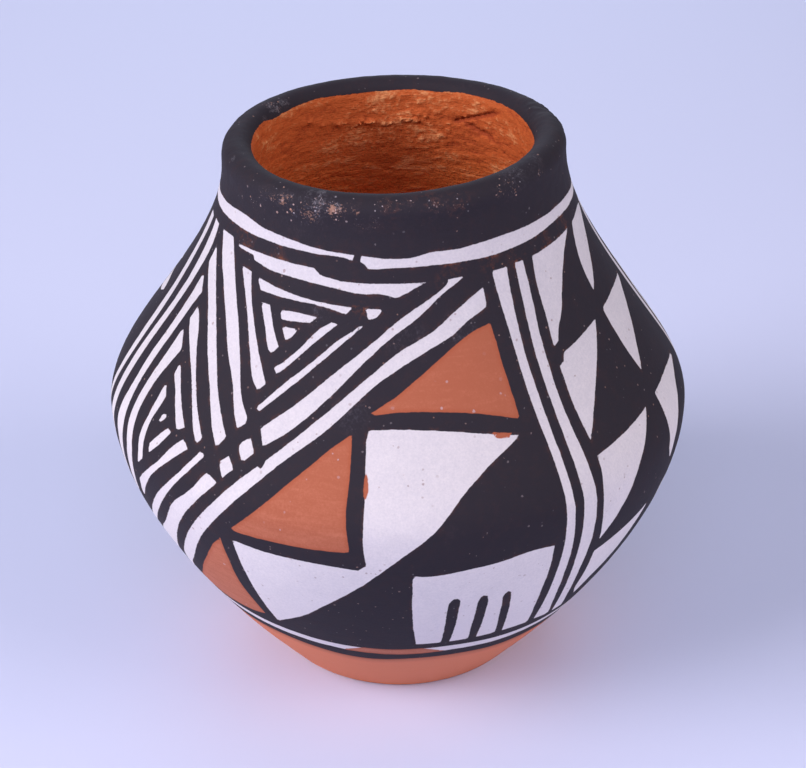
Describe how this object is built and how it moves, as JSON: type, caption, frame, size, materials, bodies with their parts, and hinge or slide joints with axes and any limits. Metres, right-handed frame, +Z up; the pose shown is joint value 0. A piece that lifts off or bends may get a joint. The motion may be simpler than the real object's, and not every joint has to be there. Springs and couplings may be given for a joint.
{
  "type": "clay pot",
  "caption": "Small coil-built clay jar with a wide belly, drawn-in neck and thick round lip, slipped white and painted, open at the top to hold small things.",
  "frame": {"origin": "centre of the flat foot, on the surface that the jar stands on", "axes": "+Z up along the jar's axis, -Y towards the side that is pictured, +X to that view's right"},
  "size_m": [0.0802, 0.0802, 0.0783],
  "materials": {
    "bare_clay": "matte, rough, wiped by hand",
    "orange_slip": "matte, brushed",
    "white_slip": "matte, rubbed smooth",
    "black_paint": "matte, worn"
  },
  "bodies": {
    "root": {"base_pat": "bare_clay", "lower_wall_coil_1": "bare_clay", "lower_wall_coil_2": "bare_clay", "lower_wall_coil_3": "bare_clay", "lower_wall_coil_4": "bare_clay", "belly_coil": "bare_clay", "shoulder_coil_1": "bare_clay", "shoulder_coil_2": "bare_clay", "shoulder_coil_3": "bare_clay", "neck_coil": "bare_clay", "rim_coil": "bare_clay", "orange_underbody_slip": "orange_slip", "white_slip": "white_slip", "black_rim_paint": "black_paint"}
  },
  "joints": []
}
